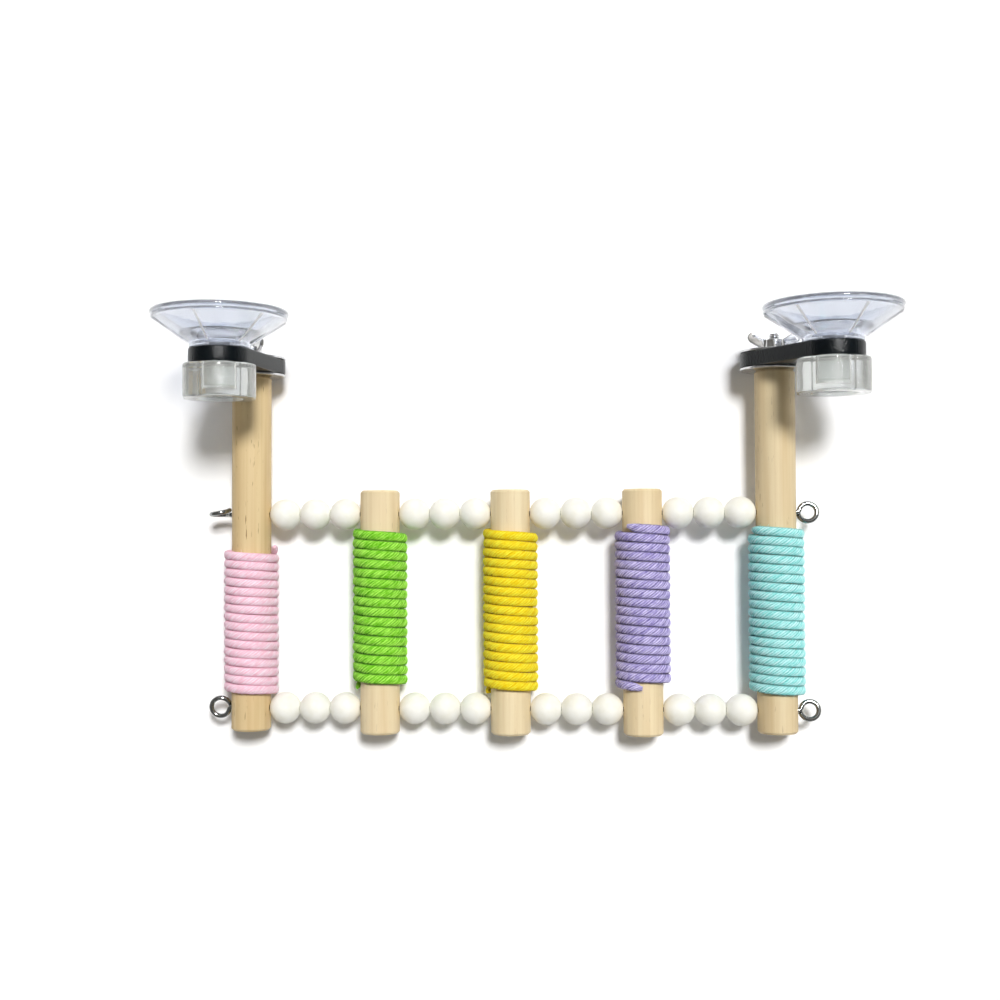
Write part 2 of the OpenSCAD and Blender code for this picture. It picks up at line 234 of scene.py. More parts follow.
def pine(name, axis, pith, pale, speckled):
    """Pine whose growth rings are centred on a line beside the dowel's axis."""
    material, tree, shader = new_finish(name, {"Roughness": 0.6, "Specular IOR Level": 0.35})
    to_pith = (-axis.x - pith[0], 0, -axis.z - pith[1])
    place = result(tree, "ShaderNodeVectorMath", piece_place(tree), to_pith, operation="ADD")
    rings = add_node(
        tree, "ShaderNodeTexWave", stretched(tree, place, ring_stretch), 2 * math.pi / 20 / ring_width,
        2.5, 3, 1.2, 0.6, wave_type="RINGS", rings_direction="Y", wave_profile="SAW",
    ).outputs["Fac"]
    along_grain = stretched(tree, place, streak_stretch)
    streaks = noise(tree, along_grain, 260, 2, 0.5)
    fibres = noise(tree, along_grain, 2600, 3, 0.6)
    specks = noise(tree, stretched(tree, place, speck_stretch), 2300, 1, 0.5)
    speck_rows = noise(tree, along_grain, 700, 1, 0.5)
    specks = calc(tree, "MULTIPLY", steps(tree, specks, 0.66, 0.72), steps(tree, speck_rows, 0.5, 0.6))
    tan = shade_of(pale, (0.86, 0.8, 0.72))
    ring = shade_of(pale, (0.82, 0.74, 0.62))
    tone = mix_colours(tree, steps(tree, streaks, 0.4, 0.72), pale, tan)
    tone = mix_colours(tree, calc(tree, "MULTIPLY", calc(tree, "POWER", rings, 3), 0.32), tone, ring)
    tone = mix_colours(tree, steps(tree, fibres, 0.5, 0.85, 0.4), tone, tan)
    tone = mix_colours(tree, calc(tree, "MULTIPLY", specks, speckled), tone, pine_speck)
    tree.links.new(tone, shader.inputs["Base Color"])
    bump(tree, shader, fibres, 0.3, 0.00008)
    return material


def middle_of(node):
    """The middle of a CAD node's box."""
    low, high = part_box(node)
    return (low + high) / 2


# Each dowel: where the tree's middle was beside it, its palest tone and how strong its dark specks are
DOWELS = {
    "post_left": ((0.009, -0.004), (224, 200, 154), 0.8),
    "rung_green": ((-0.012, -0.006), (238, 220, 182), 0.25),
    "rung_yellow": ((0.010, 0.009), (239, 222, 184), 0.2),
    "rung_purple": ((-0.008, 0.010), (238, 219, 180), 0.25),
    "post_right": ((0.013, -0.008), (228, 209, 170), 0.4),
}
dowel_axis = {}
for node, (pith, pale, speckled) in DOWELS.items():
    dowel_axis[node] = middle_of(node)
    dowel_mesh = frame["nodes"][node].data
    dowel_mesh.materials.clear()
    dowel_mesh.materials.append(pine("pine_" + node, dowel_axis[node], pith, paint(*pale), speckled))

# Rope windings
# Twisted cotton rope of three strands, wound tightly round each dowel in its own colour.
# Every winding is one length of rope, swept along a spiral, twisted with the rope's lay
# and pressed flat where one turn lies against the next.
rope_thickness = 0.003
rope_lay = 0.011
rope_strands = 3
strand_yarns = 3
points_per_turn = 108
profile_points_per_yarn = 4
winding_radius = 0.00898
# How far from its middle a turn is pressed flat, as a share of the pitch
press_share = 0.49
# How fast the yarns' tones change round the rope and along it
tones_round = 0.32
tones_along = 24
fuzz_scale = 2200
# A loose fibre's bend and thickness for a length of 1, and how much fibres differ in length
fibre_bend = ((0, 0, 0), (0.5, 0.05, 0.04), (1, 0.2, 0.3))
fibre_thickness = 0.022
fibre_lengths = (0.5, 1.2)


SOCKET_KINDS = {float: "Float", int: "Int", Vector: "Vector", type(None): "Material"}


def geometry_tree(name, inputs):
    """A geometry tree with named inputs, and their sockets inside it. None stands for a material."""
    tree = bpy.data.node_groups.new(name, "GeometryNodeTree")
    for way in ("INPUT", "OUTPUT"):
        tree.interface.new_socket(name="Geometry", in_out=way, socket_type="NodeSocketGeometry")
    for input_name, value in inputs.items():
        kind = "NodeSocket" + SOCKET_KINDS[type(value)]
        socket = tree.interface.new_socket(name=input_name, in_out="INPUT", socket_type=kind)
        if value is not None:
            socket.default_value = value
    return tree, tree.nodes.new("NodeGroupInput").outputs


rope_tree, rope_in = geometry_tree(
    "rope_winding",
    {
        "Start": Vector((0, 0, 0)),
        "First Turn": 0.0,
        "Last Turn": 15.0,
        "Pitch": 0.0035,
        "Winding Radius": winding_radius,
        "Thickness": rope_thickness,
        "Lay": rope_lay,
        "Strands": rope_strands,
        "Yarns": strand_yarns,
        "Strand Depth": 0.1,
        "Yarn Depth": 0.24,
        "Spread": 1.14,
        "Unevenness": 0.00042,
        "Tail": 0.12,
        "Tail Thinning": 0.6,
        "Start Rise": 0.0,
        "End Drop": 0.0,
        "Fuzz": 0.00026,
        "Fibre Density": 240000.0,
        "Fibre Length": 0.0012,
        "Seed": 0.0,
        "Cotton": None,
    },
)
rope_step = partial(result, rope_tree)
rope_sum = partial(calc, rope_tree)
plus = partial(rope_sum, "ADD")
minus = partial(rope_sum, "SUBTRACT")
times = partial(rope_sum, "MULTIPLY")


def vector_sum(operation, *values):
    """The result of one vector sum in the rope's tree."""
    return rope_step("ShaderNodeVectorMath", *values, operation=operation)


def stored(geometry, name, value, kind="FLOAT"):
    """A geometry whose points keep a value under a name."""
    return rope_step(
        "GeometryNodeStoreNamedAttribute", geometry, None, name, value, data_type=kind, domain="POINT"
    )


def recalled(name, kind="FLOAT"):
    """The value that points keep under a name."""
    return rope_step("GeometryNodeInputNamedAttribute", name, data_type=kind)


def shifted(geometry, place, offset=None):
    """A geometry whose points lie at a new place, or are moved by an offset."""
    return rope_step("GeometryNodeSetPosition", geometry, None, place, offset)


# The spiral: a line bent round the dowel, with a little unevenness in its radius and its pitch
rope_turns = minus(rope_in["Last Turn"], rope_in["First Turn"])
rope_line = rope_step("GeometryNodeCurvePrimitiveLine", (0, 0, 0), (1, 0, 0))
rope_count = times(rope_turns, points_per_turn)
rope_line = rope_step("GeometryNodeResampleCurve", rope_line, None, rope_count, mode="COUNT")
rope_share = rope_step("GeometryNodeSplineParameter")
rope_turn = rope_sum("MULTIPLY_ADD", rope_share, rope_turns, rope_in["First Turn"])
rope_angle = times(rope_turn, 2 * math.pi)
uneven = []
for speed, shift in ((2.6, 0.0), (2.1, 40.0)):
    along = plus(rope_sum("MULTIPLY_ADD", rope_turn, speed, shift), rope_in["Seed"])
    wave = rope_step("ShaderNodeTexNoise", None, along, 1, 2, 0.5, noise_dimensions="1D")
    uneven.append(times(minus(wave, 0.5), rope_in["Unevenness"]))
tails = []
for past_end in (
    minus(rope_turn, rope_in["First Turn"]),
    minus(rope_in["Last Turn"], rope_turn),
):
    from_end = rope_sum("DIVIDE", past_end, rope_in["Tail"], use_clamp=True)
    tails.append(rope_sum("POWER", minus(1, from_end), 2))
tail_rise = times(tails[0], rope_in["Start Rise"])
tail_drop = times(tails[1], rope_in["End Drop"])
sideways = plus(uneven[1], minus(tail_rise, tail_drop))
reach = plus(rope_in["Winding Radius"], uneven[0])
spiral_place = rope_step(
    "ShaderNodeCombineXYZ",
    times(rope_sum("COSINE", rope_angle), times(reach, -1)),
    minus(sideways, times(rope_turn, rope_in["Pitch"])),
    times(rope_sum("SINE", rope_angle), reach),
)
spiral_place = vector_sum("ADD", spiral_place, rope_in["Start"])
twist_per_turn = times(rope_in["Winding Radius"], -4 * math.pi ** 2)
twist_per_turn = rope_sum("DIVIDE", twist_per_turn, rope_in["Lay"])
rope_tilt = times(rope_turn, twist_per_turn)
rope_line = rope_step("GeometryNodeSetCurveTilt", rope_line, None, rope_tilt)
rope_line = shifted(rope_line, spiral_place)
where = rope_step("GeometryNodeInputPosition")
rope_line = stored(rope_line, "core", where, "FLOAT_VECTOR")
rope_line = stored(rope_line, "turn", rope_turn)

# The section: strands as round lobes, each of them grooved into yarns
rope_yarns = times(rope_in["Strands"], rope_in["Yarns"])
section_count = times(rope_yarns, profile_points_per_yarn)
section = rope_step("GeometryNodeCurvePrimitiveCircle", section_count, None, None, None, 1)
section_step = rope_sum("DIVIDE", 2 * math.pi, section_count)
section_angle = times(rope_step("GeometryNodeInputIndex"), section_step)
lobes = []
for count, depth in ((rope_in["Strands"], rope_in["Strand Depth"]), (rope_yarns, rope_in["Yarn Depth"])):
    half_angle = times(times(section_angle, count), 0.5)
    crest = rope_sum("ABSOLUTE", rope_sum("SINE", half_angle))
    lobes.append(times(minus(1, crest), depth))
ridge = minus(1, plus(*lobes))
# The ridge is low in the grooves between yarns and strands, where the cotton paints shade
section = stored(section, "ridge", ridge)
section = stored(section, "round", where, "FLOAT_VECTOR")
section_size = times(ridge, times(rope_in["Thickness"], 0.5))
section = shifted(section, vector_sum("SCALE", where, None, None, section_size))
tail_thinning = times(plus(*tails), rope_in["Tail Thinning"])
size_along = minus(1, tail_thinning)
rope_body = rope_step("GeometryNodeCurveToMesh", rope_line, section, size_along, True)

# The yarns' tones: each yarn is a little paler or deeper than the next, and changes along its length
yarn_spacing = times(rope_yarns, tones_round)
yarn_round = vector_sum("SCALE", recalled("round", "FLOAT_VECTOR"), None, None, yarn_spacing)
yarn_along = times(plus(recalled("turn"), rope_in["Seed"]), tones_along)
yarn_tone = rope_step("ShaderNodeTexNoise", yarn_round, yarn_along, 1, 2, 0.6, noise_dimensions="4D")
rope_body = stored(rope_body, "yarn_tone", yarn_tone)

# The press: along the dowel the rope spreads until it meets its next turn, and is flat there
core = recalled("core", "FLOAT_VECTOR")
from_core = add_node(rope_tree, "ShaderNodeSeparateXYZ", vector_sum("SUBTRACT", where, core)).outputs
spread = times(rope_in["Spread"], rope_in["Pitch"])
spread = rope_sum("DIVIDE", spread, rope_in["Thickness"])
room = times(rope_in["Pitch"], press_share)
pressed = rope_sum("MINIMUM", times(from_core["Y"], spread), room)
pressed = rope_sum("MAXIMUM", pressed, times(room, -1))
# The seam is near 1 where a turn meets the next, where the cotton paints a deeper shade
seam = rope_sum("DIVIDE", rope_sum("ABSOLUTE", pressed), room)
rope_body = stored(rope_body, "seam", seam)
pressed = rope_step("ShaderNodeCombineXYZ", from_core["X"], pressed, from_core["Z"])
rope_body = shifted(rope_body, vector_sum("ADD", core, pressed))

# Fuzz: a fine roughness along the normals, and loose fibres that stand out of it
fuzz = noise(rope_tree, where, fuzz_scale, 1, 0.5)
fuzz = times(minus(fuzz, 0.5), rope_in["Fuzz"])
outwards = rope_step("GeometryNodeInputNormal")
rope_body = shifted(rope_body, None, vector_sum("SCALE", outwards, None, None, fuzz))
for name in ("core", "turn", "round"):
    rope_body = rope_step("GeometryNodeRemoveAttribute", rope_body, None, name)
rope_body = rope_step("GeometryNodeSetShadeSmooth", rope_body, None, True)
fibre_line = rope_step("GeometryNodeCurveQuadraticBezier", 3, *fibre_bend)
fibre_section = rope_step("GeometryNodeCurvePrimitiveCircle", 3, None, None, None, fibre_thickness)
fibre = rope_step("GeometryNodeCurveToMesh", fibre_line, fibre_section, 1, False)
# Loose fibres count as crests away from any seam, so no shade is painted on them
for name, value in (("ridge", 1), ("yarn_tone", 0.5), ("seam", 0)):
    fibre = stored(fibre, name, value)
fibre_roots = add_node(rope_tree, "GeometryNodeDistributePointsOnFaces", rope_body)
rope_tree.links.new(rope_in["Fibre Density"], fibre_roots.inputs["Density"])
fibre_spin = rope_step(
    "FunctionNodeRandomValue", (-0.3, -0.5, 0), (0.3, 0.2, 2 * math.pi), data_type="FLOAT_VECTOR"
)
fibre_lie = rope_step(
    "FunctionNodeRotateRotation", fibre_roots.outputs["Rotation"], fibre_spin, rotation_space="LOCAL"
)
fibre_size = add_node(rope_tree, "FunctionNodeRandomValue", None, None, *fibre_lengths, data_type="FLOAT")
fibre_size = times(fibre_size.outputs[1], rope_in["Fibre Length"])
fibres = add_node(rope_tree, "GeometryNodeInstanceOnPoints", fibre_roots.outputs["Points"])
for name, value in (("Instance", fibre), ("Rotation", fibre_lie), ("Scale", fibre_size)):
    rope_tree.links.new(value, fibres.inputs[name])
rope_and_fibres = add_node(rope_tree, "GeometryNodeJoinGeometry")
for part in (fibres.outputs["Instances"], rope_body):
    rope_tree.links.new(part, rope_and_fibres.inputs[0])
rope_body = rope_step("GeometryNodeRealizeInstances", rope_and_fibres.outputs["Geometry"])
rope_body = rope_step("GeometryNodeSetMaterial", rope_body, None, rope_in["Cotton"])
add_node(rope_tree, "NodeGroupOutput", rope_body)


def cotton(name, colour, groove_shade_level):
    """Dyed cotton, dull and a little fuzzy, with painted shade in the yarns' grooves and where turns meet.
    """
    looks = {"Roughness": 0.95, "Specular IOR Level": 0.05, "Sheen Weight": 0.08, "Sheen Roughness": 0.5}
    material, tree, shader = new_finish(name, looks)
    crest, yarns, seam = [
        add_node(tree, "ShaderNodeAttribute", attribute_name=mark).outputs["Fac"]
        for mark in ("ridge", "yarn_tone", "seam")
    ]
    place = piece_place(tree)
    tufts = noise(tree, place, 1300, 2, 0.6)
    fibres = noise(tree, place, 5200, 2, 0.6)
    # Painted shade: a deep tone for the yarns' grooves and fine dark flecks, a deeper one for the seams
    groove_shade_and_flecks = [share ** 2.4 * groove_shade_level for share in colour[:3]] + [1]
    shaded = [share ** 1.7 * 0.92 for share in colour[:3]] + [1]
    contrast = max(0.15, 1 - groove_shade_level)
    pale = [min(1, share * (1 + 0.55 * contrast) + 0.05 * contrast) for share in colour[:3]] + [1]
    seam_shade = shade_of(groove_shade_and_flecks, [groove_shade_level] * 3)
    tone = mix_colours(tree, steps(tree, yarns, 0.4, 0.57), shaded, pale)
    # Painted shade in the grooves between yarns and strands
    tone = mix_colours(tree, steps(tree, crest, 0.66, 0.93), groove_shade_and_flecks, tone)
    tone = mix_colours(tree, steps(tree, tufts, 0.4, 0.7, 0.3), tone, pale)
    tone = mix_colours(tree, steps(tree, fibres, 0.5, 0.8, 0.2), tone, groove_shade_and_flecks)
    # Painted shade where one turn lies against the next
    tone = mix_colours(tree, steps(tree, seam, 0.7, 0.98, 0.62), tone, seam_shade)
    tree.links.new(tone, shader.inputs["Base Color"])
    bump(tree, shader, calc(tree, "ADD", tufts, fibres), 0.8, 0.00016)
    return material


body_of = {node: body for body, nodes in frame["record"]["behaviour"]["bodies"].items() for node in nodes}


def fix(piece, node):
    """A piece that takes the place of one CAD node, on that node's body."""
    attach(piece, body_of[node])
    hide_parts(node)


def grown(name, mesh, tree, values):
    """The plain mesh that a geometry tree makes of a start mesh, as a new object."""
    seedling = in_scene(name, mesh)
    modifier = seedling.modifiers.new(tree.name, "NODES")
    modifier.node_group = tree
    for input_name, value in values.items():
        modifier[tree.interface.items_tree[input_name].identifier] = value
    seen = seedling.evaluated_get(bpy.context.evaluated_depsgraph_get())
    made = bpy.data.meshes.new_from_object(seen)
    bpy.data.objects.remove(seedling)
    made.name = name
    return in_scene(name, made)


# Each winding: its dowel, its colour, how light the painted shade in its grooves and seams is, its first
# and last turn, its pitch, how far below the upper wire turn 0 passes the dowel's left side, and how far
# its start stands up and its end hangs down
WINDINGS = {
    "pink": ("post_left", (255, 225, 236), 0.97, -0.5, 15.62, 0.003342, 0.01525, 0.0014, 0),
    "green": ("rung_green", (166, 231, 82), 0.57, -0.33, 16, 0.003593, 0.00737, 0.0002, 0.0014),
    "yellow": ("rung_yellow", (255, 235, 60), 0.82, -0.33, 17, 0.003501, 0.00754, 0.0002, 0.0006),
    "purple": ("rung_purple", (196, 187, 233), 0.44, -0.86, 16.24, 0.003455, 0.00861, 0.0006, 0.0006),
    "teal": ("post_right", (189, 249, 247), 0.58, 0.03, 17.6, 0.003421, 0.0066, 0.0002, 0),
}
upper_wire_y = middle_of("bead_upper_1").y
for index, (colour_name, winding) in enumerate(WINDINGS.items()):
    dowel, colour, groove_shade_level, first, last, pitch, drop, start_rise, end_drop = winding
    axis = dowel_axis[dowel]
    rope = grown(
        "rope_" + colour_name,
        bpy.data.meshes.new("rope_start"),
        rope_tree,
        {
            "Start": (axis.x, upper_wire_y - drop, axis.z),
            "First Turn": first,
            "Last Turn": last,
            "Pitch": pitch,
            "Start Rise": start_rise,
            "End Drop": end_drop,
            "Seed": 7.0 * index,
            "Cotton": cotton("cotton_" + colour_name, paint(*colour), groove_shade_level),
        },
    )
    fix(rope, "wrap_" + colour_name)

# Wires
# Two steel wires run straight through the dowels and the beads. Each end is bent round into an eye,
# which keeps the row together and can be tied to a cage.
wire_thickness = 0.0018
wire_sides = 24
left_eye_width = 0.0088
right_eye_width = 0.0084
eye_room = 0.0002
# An eye's bend, the part of it that is eased and the step between its points, in degrees
eye_bend = 354
eye_ease = 24
eye_step = 6
ease_steps = 6
# How far an eye's end passes beside the wire, in thicknesses of the wire
eye_overlap = 1.06


def bright_steel(name, roughness, tint):
    """Plated steel with faint scratches and uneven polish."""
    material, tree, shader = new_finish(name, {"Metallic": 1, "Roughness": roughness})
    place = piece_place(tree)
    clouds = noise(tree, place, 700, 3, 0.6)
    scratches = noise(tree, place, 6000, 2, 0.7)
    worn = shade_of(tint, [0.72] * 3)
    tone = mix_colours(tree, steps(tree, clouds, 0.4, 0.75), tint, worn)
    tree.links.new(tone, shader.inputs["Base Color"])
    polish = result(tree, "ShaderNodeMapRange", clouds, 0.3, 0.8, roughness * 0.7, roughness * 1.4)
    tree.links.new(polish, shader.inputs["Roughness"])
    bump(tree, shader, scratches, 0.12, 0.00003)
    return material


wire_tree, wire_in = geometry_tree(
    "bent_wire", {"Thickness": wire_thickness, "Sides": wire_sides, "Steel": None}
)
wire_step = partial(result, wire_tree)
wire_line = wire_step("GeometryNodeMeshToCurve", wire_in["Geometry"])
wire_radius = calc(wire_tree, "MULTIPLY", wire_in["Thickness"], 0.5)
wire_section = wire_step(
    "GeometryNodeCurvePrimitiveCircle", wire_in["Sides"], None, None, None, wire_radius
)
wire_body = wire_step("GeometryNodeCurveToMesh", wire_line, wire_section, 1, True)
wire_body = wire_step("GeometryNodeSetShadeSmooth", wire_body, None, True)
wire_body = wire_step("GeometryNodeSetMaterial", wire_body, None, wire_in["Steel"])
add_node(wire_tree, "NodeGroupOutput", wire_body)


def eye_points(wire_end, width, side, turn):
    """An eye's points from the end of the straight wire outwards, its start eased into the bend."""
    radius = (width - wire_thickness) / 2
    ease_angle = math.radians(eye_ease)
    ease_start = Vector((-wire_thickness / 2, 0, 0))
    ease_end = radius * Vector((1 - math.cos(ease_angle), -math.sin(ease_angle), 0))
    points = []
    for step in range(ease_steps + 1):
        t = step / ease_steps
        points.append((1 - t) ** 2 * ease_start + t ** 2 * ease_end)
    for angle in range(eye_ease + eye_step, eye_bend + 1, eye_step):
        bend = math.radians(180 + angle)
        aside = wire_thickness * eye_overlap * ((angle - eye_ease) / (eye_bend - eye_ease)) ** 3
        points.append(radius * Vector((1 + math.cos(bend), math.sin(bend), 0)) + Vector((0, 0, aside)))
    lean = Matrix.Rotation(math.radians(turn), 3, "X")
    face = Matrix.Rotation(math.radians(0 if side > 0 else 180), 3, "Z")
    return [wire_end + face @ (lean @ point) for point in points]


steel_wire = bright_steel("steel_wire", 0.08, (0.34, 0.35, 0.35, 1))
# The turns of each wire's left and right eye about the wire, in degrees
EYE_TURNS = {"upper": (88, 168), "lower": (168, 168)}
past_post = eye_room + wire_thickness / 2
for row, (left_turn, right_turn) in EYE_TURNS.items():
    row_y = middle_of(f"bead_{row}_1").y
    row_z = dowel_axis["rung_yellow"].z
    left_end = Vector((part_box("post_left")[0].x - past_post, row_y, row_z))
    right_end = Vector((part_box("post_right")[1].x + past_post, row_y, row_z))
    left_eye = eye_points(left_end, left_eye_width, -1, left_turn)
    points = left_eye[::-1] + eye_points(right_end, right_eye_width, 1, right_turn)
    path = bpy.data.meshes.new("wire_path")
    path.from_pydata(points, [(i, i + 1) for i in range(len(points) - 1)], [])
    wire = grown("steel_wire_" + row, path, wire_tree, {"Steel": steel_wire})
    fix(wire, "wire_" + row)

# Beads
# Turned wooden beads, painted white, twelve on each wire. The paint is matt and a little uneven,
# and each bead is flat where it meets the next one, with a worn edge round its hole.
beads_per_row = 12
bead_radius = 0.006
bead_length = 0.0115
bead_hole = 0.0012
bead_hole_wear = 0.0003
bead_hole_step = 0.001
bead_sides = 64
bead_arc_steps = 40
# An outline's points nearer to the axis than this lie on it
on_axis = 1e-7


def eased(corners, closed=False, count=5):
    """An outline of (radius, height, ease) corners with each corner rounded over its ease."""
    points = []
    last = len(corners) - 1
    for i, (radius, height, ease) in enumerate(corners):
        here = Vector((radius, height))
        if ease == 0 or (not closed and i in (0, last)):
            points.append(here)
            continue
        before = Vector(corners[i - 1][:2])
        after = Vector(corners[(i + 1) % (last + 1)][:2])
        start = here + (before - here).normalized() * ease
        end = here + (after - here).normalized() * ease
        for step in range(count + 1):
            t = step / count
            points.append((1 - t) ** 2 * start + 2 * t * (1 - t) * here + t ** 2 * end)
    return points


def stacked(rings, closed=False):
    """A mesh of rings of points joined one to the next; a ring of one point is a pole."""
    shape = bmesh.new()
    rows = [[shape.verts.new(point) for point in ring] for ring in rings]
    pairs = list(zip(rows, rows[1:]))
    if closed:
        pairs.append((rows[-1], rows[0]))
    for one, two in pairs:
        size = max(len(one), len(two))
        for i in range(size):
            j = (i + 1) % size
            corners = [one[i % len(one)], one[j % len(one)], two[j % len(two)], two[i % len(two)]]
            face = [corner for k, corner in enumerate(corners) if corner not in corners[:k]]
            shape.faces.new(face)
    bmesh.ops.recalc_face_normals(shape, faces=shape.faces)
    return shape


def round_about(sides):
    """The angles of that many points round a circle."""
    return [2 * math.pi * i / sides for i in range(sides)]


def at_angle(radius, angle, height):
    """A point at an angle about the Z axis."""
    return Vector((radius * math.cos(angle), radius * math.sin(angle), height))


def turned(outline, sides, closed=False):
    """An outline of (radius, height) turned about the Z axis."""
    rings = []
    for radius, height in outline:
        if radius < on_axis:
            rings.append([Vector((0, 0, height))])
            continue
        rings.append([at_angle(radius, angle, height) for angle in round_about(sides)])
    return stacked(rings, closed)


def placed(name, shape, place, material, sharp=40):
    """An object made of a shape in its own place, smooth except over its sharp edges."""
    shape.transform(place)
    mesh = bpy.data.meshes.new(name)
    shape.to_mesh(mesh)
    shape.free()
    mesh.polygons.foreach_set("use_smooth", [True] * len(mesh.polygons))
    mesh.set_sharp_from_angle(angle=math.radians(sharp))
    mesh.materials.append(material)
    return in_scene(name, mesh)


bead_looks = {"Roughness": 0.55, "Specular IOR Level": 0.3}
bead_paint, bead_tree, bead_shader = new_finish("bead_paint", bead_looks)
bead_place = piece_place(bead_tree)
bead_clouds = steps(bead_tree, noise(bead_tree, bead_place, 260, 3, 0.55), 0.4, 0.7)
bead_tone = mix_colours(bead_tree, bead_clouds, paint(249, 248, 240), paint(243, 241, 229))
bead_tree.links.new(bead_tone, bead_shader.inputs["Base Color"])
bump(bead_tree, bead_shader, noise(bead_tree, bead_place, 1900, 2, 0.5), 0.15, 0.00006)

along_x = Matrix.Rotation(math.radians(90), 4, "Y")
bead_end = bead_length / 2
bead_end_angle = math.acos(bead_end / bead_radius)
bead_face = bead_radius * math.sin(bead_end_angle)
bead_outline = eased([(bead_hole, 0, 0), (bead_hole, bead_end, bead_hole_wear), (bead_face, bead_end, 0)])
for step in range(1, bead_arc_steps):
    angle = bead_end_angle + (math.pi - 2 * bead_end_angle) * step / bead_arc_steps
    bead_outline.append(bead_radius * Vector((math.sin(angle), math.cos(angle))))
bead_outline += eased(
    [(bead_face, -bead_end, 0), (bead_hole, -bead_end, bead_hole_wear), (bead_hole, -bead_hole_step, 0)]
)
for row in ("upper", "lower"):
    for i in range(1, beads_per_row + 1):
        node = f"bead_{row}_{i}"
        bead = placed(
            f"wooden_bead_{row}_{i}",
            turned(bead_outline, bead_sides, closed=True),
            Matrix.Translation(middle_of(node)) @ along_x,
            bead_paint,
        )
        fix(bead, node)

# Bolts and washers
# A hanger bolt is screwed into the end of each post, and carries an arm between two wide thin washers.
# The part that stands out has a fine machine thread. Everything is zinc-plated steel.
bolt_radius = 0.002
thread_pitch = 0.0007
thread_depth = 0.0003
thread_sides = 36
rows_per_pitch = 8
bolt_point = 0.005
# How thick the point's tip is, as a share of the bolt
bolt_tip = 0.25
bolt_end_round = 0.0006
washer_bore = 0.0021
washer_radius = 0.013
washer_thickness = 0.0008
washer_sides = 128
along_y = Matrix.Rotation(math.radians(-90), 4, "X")
zinc = bright_steel("zinc", 0.2, (0.74, 0.74, 0.75, 1))


def threaded_bolt(length):
    """A bolt along Z with a tapered point, a thread and a rounded end."""
    rings = [[Vector((0, 0, 0))]]
    count = round(length / thread_pitch * rows_per_pitch)
    for row in range(count + 1):
        height = length * row / count
        envelope = bolt_radius * min(1, bolt_tip + (1 - bolt_tip) * height / bolt_point)
        into_round = bolt_end_round - (length - height)
        if into_round > 0:
            envelope -= bolt_end_round - math.sqrt(max(0, bolt_end_round ** 2 - into_round ** 2))
        ring = []
        for i, angle in enumerate(round_about(thread_sides)):
            phase = (height / thread_pitch - i / thread_sides) % 1
            ring.append(at_angle(envelope - thread_depth * abs(2 * phase - 1), angle, height))
        rings.append(ring)
    rings.append([Vector((0, 0, length))])
    return stacked(rings)


def foot_of(node, axis_node):
    """Where a piece that stands along Y starts: on the axis of a bolt or stud, at the node's low end."""
    foot = middle_of(axis_node)
    foot.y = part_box(node)[0].y
    return foot


def standing(node, axis_node, turn=0):
    """The place of such a piece that is made along Z, turned about its axis by some degrees."""
    spin = Matrix.Rotation(math.radians(turn), 4, "Y")
    return Matrix.Translation(foot_of(node, axis_node)) @ spin @ along_y


washer_outline = eased(
    [
        (washer_bore, 0, 0.0001),
        (washer_radius, 0, 0.0002),
        (washer_radius, washer_thickness, 0.0002),
        (washer_bore, washer_thickness, 0.0001),
    ],
    closed=True,
)
for side in ("left", "right"):
    bolt_node = "hanger_bolt_" + side
    low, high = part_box(bolt_node)
    place = standing(bolt_node, bolt_node)
    bolt = placed("threaded_bolt_" + side, threaded_bolt(high.y - low.y), place, zinc)
    fix(bolt, bolt_node)
    for level in ("lower", "upper"):
        node = f"{level}_washer_{side}"
        washer = placed(
            f"wide_washer_{level}_{side}",
            turned(washer_outline, washer_sides, closed=True),
            standing(node, bolt_node),
            zinc,
        )
        fix(washer, node)

# Arms
# A flat black plastic link on each post: a wide round end on the bolt, a smaller one under the cup.
# Its edges are rounded, and the moulded surface has a fine leathery grain.
arm_thickness = 0.0058
arm_bolt_radius = 0.0128
arm_stud_radius = 0.0113
arm_hole_bolt = 0.0021
arm_hole_stud = 0.0041
arm_round = 0.0009
arm_arc_steps = 64
# How far in from the edge the arm's faces are closed, and where its drills start and end
arm_flat = 0.004
drill_start = -0.001
drill_end = 0.007

black_looks = {"Roughness": 0.26, "Specular IOR Level": 0.24}
black_plastic, black_tree, black_shader = new_finish("black_plastic", black_looks)
black_place = piece_place(black_tree)
black_clouds = steps(black_tree, noise(black_tree, black_place, 300, 3, 0.6), 0.35, 0.7)
black_tone = mix_colours(black_tree, black_clouds, paint(2, 8, 13), paint(6, 14, 19))
black_tree.links.new(black_tone, black_shader.inputs["Base Color"])
black_grain = result(black_tree, "ShaderNodeTexVoronoi", black_place, None, 1700)
bump(black_tree, black_shader, black_grain, 0.7, 0.00014)


def arm_outline(inset, length):
    """Points round the arm: an arc about the bolt, an arc about the stud, and tangents between them."""
    big = arm_bolt_radius - inset
    small = arm_stud_radius - inset
    lean = math.acos((big - small) / length)
    points = []
    for step in range(arm_arc_steps + 1):
        angle = lean + (2 * math.pi - 2 * lean) * step / arm_arc_steps
        points.append((big * math.cos(angle), big * math.sin(angle)))
    for step in range(arm_arc_steps + 1):
        angle = -lean + 2 * lean * step / arm_arc_steps
        points.append((length + small * math.cos(angle), small * math.sin(angle)))
    return points


def combined(piece, shapes, operation):
    """Cuts shapes out of a piece, or fuses them with it."""
    for shape in shapes:
        mesh = bpy.data.meshes.new("tool")
        shape.to_mesh(mesh)
        shape.free()
        tool = in_scene("tool", mesh)
        modifier = piece.modifiers.new("combine", "BOOLEAN")
        modifier.object = tool
        modifier.operation = operation
        modifier.solver = "EXACT"
        seen = piece.evaluated_get(bpy.context.evaluated_depsgraph_get())
        made = bpy.data.meshes.new_from_object(seen)
        piece.modifiers.remove(modifier)
        piece.data = made
        bpy.data.objects.remove(tool)


